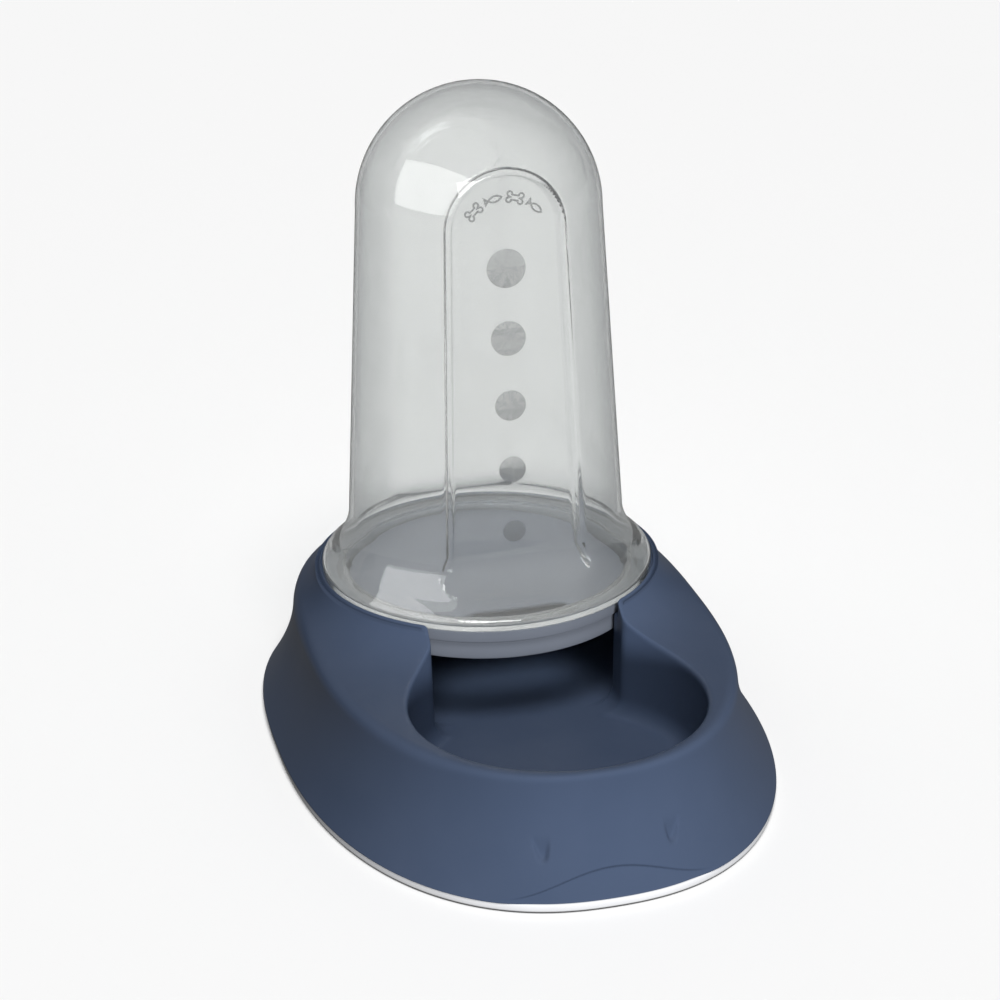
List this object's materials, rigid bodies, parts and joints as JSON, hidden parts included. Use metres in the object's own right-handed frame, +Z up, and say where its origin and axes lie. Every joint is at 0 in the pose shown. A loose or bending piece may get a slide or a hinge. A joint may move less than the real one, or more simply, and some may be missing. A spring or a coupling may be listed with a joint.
{
  "type": "pet feeder",
  "caption": "Gravity pet feeder: a clear bell-shaped food hopper twist-locked into a funnel collar that lifts out of a base with a bowl in front.",
  "frame": {"origin": "on the table under the middle of the base's footprint", "axes": "+Z up, the bowl faces -Y and the hopper stands towards +Y"},
  "size_m": [0.229, 0.328, 0.306],
  "materials": {
    "base_plastic": "satin navy moulding",
    "rim_plastic": "matte off-white",
    "foot_rubber": "matte grey rubber",
    "collar_plastic": "satin grey",
    "clear_plastic": "clear, faintly smoky plastic",
    "mark_ink": "matte grey print"
  },
  "bodies": {
    "base": {"base_shell": "base_plastic", "base_rim": "rim_plastic", "foot_front_left": "foot_rubber", "foot_front_right": "foot_rubber", "foot_side_left": "foot_rubber", "foot_side_right": "foot_rubber", "foot_back_left": "foot_rubber", "foot_back_right": "foot_rubber"},
    "collar": {"funnel_collar": "collar_plastic"},
    "hopper_bell": {"hopper": "clear_plastic", "level_marks": "mark_ink", "food_marks": "mark_ink"}
  },
  "joints": [
    {"name": "hopper_lift", "type": "slide", "parent": "base", "child": "collar", "axis": [0, 0, 1], "range_m": [0, 0.06]},
    {"name": "hopper_twist", "type": "hinge", "parent": "collar", "child": "hopper_bell", "pos_m": [0, 0.05, 0.07], "axis": [0, 0, 1], "range_deg": [0, 40]}
  ]
}
